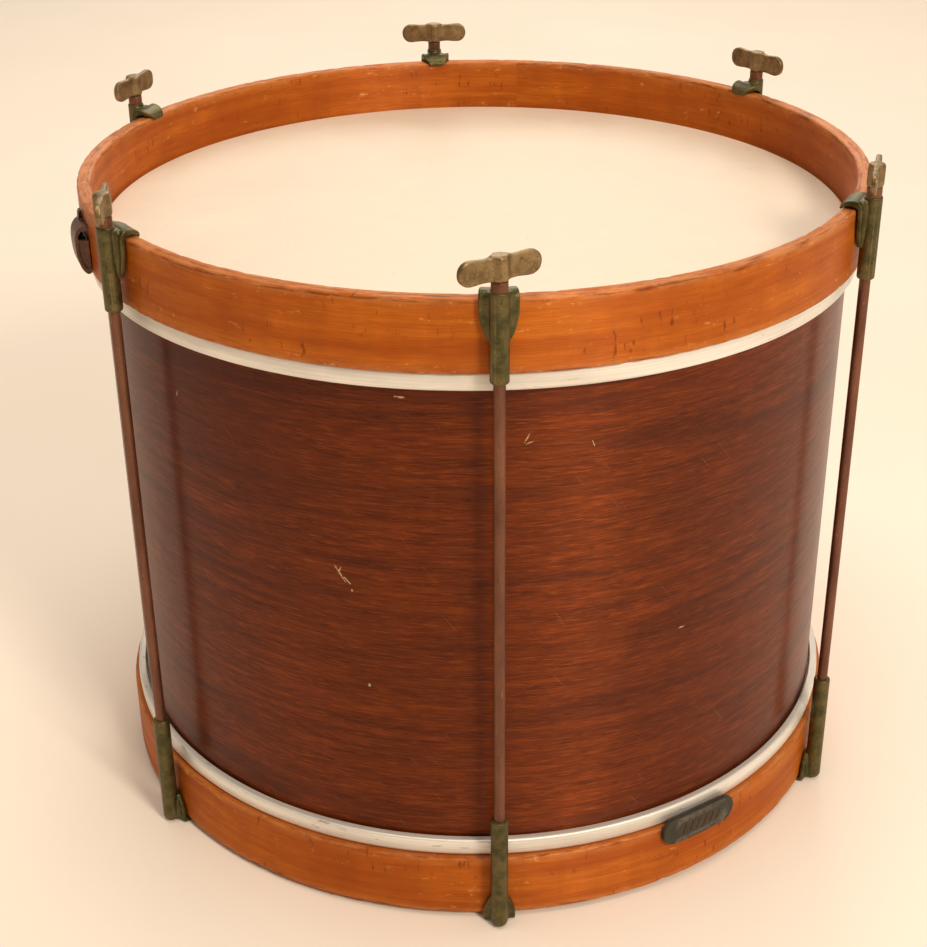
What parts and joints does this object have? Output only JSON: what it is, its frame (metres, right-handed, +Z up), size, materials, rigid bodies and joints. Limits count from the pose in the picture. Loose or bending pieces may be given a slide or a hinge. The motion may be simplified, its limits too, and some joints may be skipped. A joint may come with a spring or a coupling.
{
  "type": "field drum",
  "caption": "Rod-tensioned field drum: veneered shell, two heads, flesh hoops and wooden counterhoops drawn together by hook claws and T-handled tension rods.",
  "frame": {"origin": "on the shell's axis, in the plane of the lower claws' undersides, which is the surface that the drum stands on", "axes": "+Z up along the shell's axis; -Y is the front, where tension rod 1 is, 2.8 degrees round towards +X; azimuths run from the front towards +X"},
  "size_m": [0.4482, 0.4759, 0.3932],
  "materials": {
    "shell_veneer": "mahogany veneer under worn satin lacquer",
    "ring_maple": "plain sanded maple",
    "flesh_aluminium": "satin, lightly stained",
    "hoop_maple": "orange-stained maple under worn lacquer",
    "head_film": "coated cream film",
    "claw_metal": "olive-bronze tarnish, brassy on the edges",
    "rod_steel": "brown oxidised",
    "handle_metal": "worn plating, pitted",
    "plate_metal": "dark grey-green, worn",
    "bow_steel": "dark brown lacquer over steel",
    "screw_steel": "dull",
    "grommet_brass": "tarnished"
  },
  "bodies": {
    "lower": {"lower_counterhoop": "hoop_maple", "lower_flesh_hoop": "flesh_aluminium", "lower_claw_1": "claw_metal", "lower_claw_2": "claw_metal", "lower_claw_3": "claw_metal", "lower_claw_4": "claw_metal", "lower_claw_5": "claw_metal", "lower_claw_6": "claw_metal", "hoop_plate": "plate_metal"},
    "shell": {"shell": "shell_veneer", "upper_shell_ring": "ring_maple", "lower_shell_ring": "ring_maple", "batter_head": "head_film", "lower_head": "head_film", "vent_grommet": "grommet_brass"},
    "upper": {"upper_counterhoop": "hoop_maple", "upper_flesh_hoop": "flesh_aluminium", "upper_claw_1": "claw_metal", "upper_claw_2": "claw_metal", "upper_claw_3": "claw_metal", "upper_claw_4": "claw_metal", "upper_claw_5": "claw_metal", "upper_claw_6": "claw_metal", "strap_bow": "bow_steel", "bow_screws": "screw_steel"},
    "rod_1": {"tension_rod_1": "rod_steel", "tee_handle_1": "handle_metal"},
    "rod_2": {"tension_rod_2": "rod_steel", "tee_handle_2": "handle_metal"},
    "rod_3": {"tension_rod_3": "rod_steel", "tee_handle_3": "handle_metal"},
    "rod_4": {"tension_rod_4": "rod_steel", "tee_handle_4": "handle_metal"},
    "rod_5": {"tension_rod_5": "rod_steel", "tee_handle_5": "handle_metal"},
    "rod_6": {"tension_rod_6": "rod_steel", "tee_handle_6": "handle_metal"}
  },
  "joints": [
    {"name": "upper_slide", "type": "slide", "parent": "lower", "child": "upper", "axis": [0, 0, 1], "range_m": [-0.00159, 0.00476]},
    {"name": "rod_1_turn", "type": "hinge", "parent": "upper", "child": "rod_1", "pos_m": [0.01126, -0.23023, 0.38], "axis": [0, 0, 1], "range_deg": [-451, 1351]},
    {"name": "rod_2_turn", "type": "hinge", "parent": "upper", "child": "rod_2", "pos_m": [0.20787, -0.0996, 0.38], "axis": [0, 0, 1], "range_deg": [-451, 1351]},
    {"name": "rod_3_turn", "type": "hinge", "parent": "upper", "child": "rod_3", "pos_m": [0.18287, 0.14032, 0.38], "axis": [0, 0, 1], "range_deg": [-451, 1351]},
    {"name": "rod_4_turn", "type": "hinge", "parent": "upper", "child": "rod_4", "pos_m": [-0.02689, 0.22893, 0.38], "axis": [0, 0, 1], "range_deg": [-451, 1351]},
    {"name": "rod_5_turn", "type": "hinge", "parent": "upper", "child": "rod_5", "pos_m": [-0.21057, 0.09375, 0.38], "axis": [0, 0, 1], "range_deg": [-451, 1351]},
    {"name": "rod_6_turn", "type": "hinge", "parent": "upper", "child": "rod_6", "pos_m": [-0.18529, -0.13711, 0.38], "axis": [0, 0, 1], "range_deg": [-451, 1351]},
    {"name": "shell_slide", "type": "slide", "parent": "lower", "child": "shell", "axis": [0, 0, 1], "range_m": [-0.0008, 0.00238]}
  ],
  "couplings": [
    {"joint": "rod_1_turn", "follows": "upper_slide", "rad_per_m": 4947.4},
    {"joint": "rod_2_turn", "follows": "upper_slide", "rad_per_m": 4947.4},
    {"joint": "rod_3_turn", "follows": "upper_slide", "rad_per_m": 4947.4},
    {"joint": "rod_4_turn", "follows": "upper_slide", "rad_per_m": 4947.4},
    {"joint": "rod_5_turn", "follows": "upper_slide", "rad_per_m": 4947.4},
    {"joint": "rod_6_turn", "follows": "upper_slide", "rad_per_m": 4947.4},
    {"joint": "shell_slide", "follows": "upper_slide", "ratio": 0.5}
  ]
}
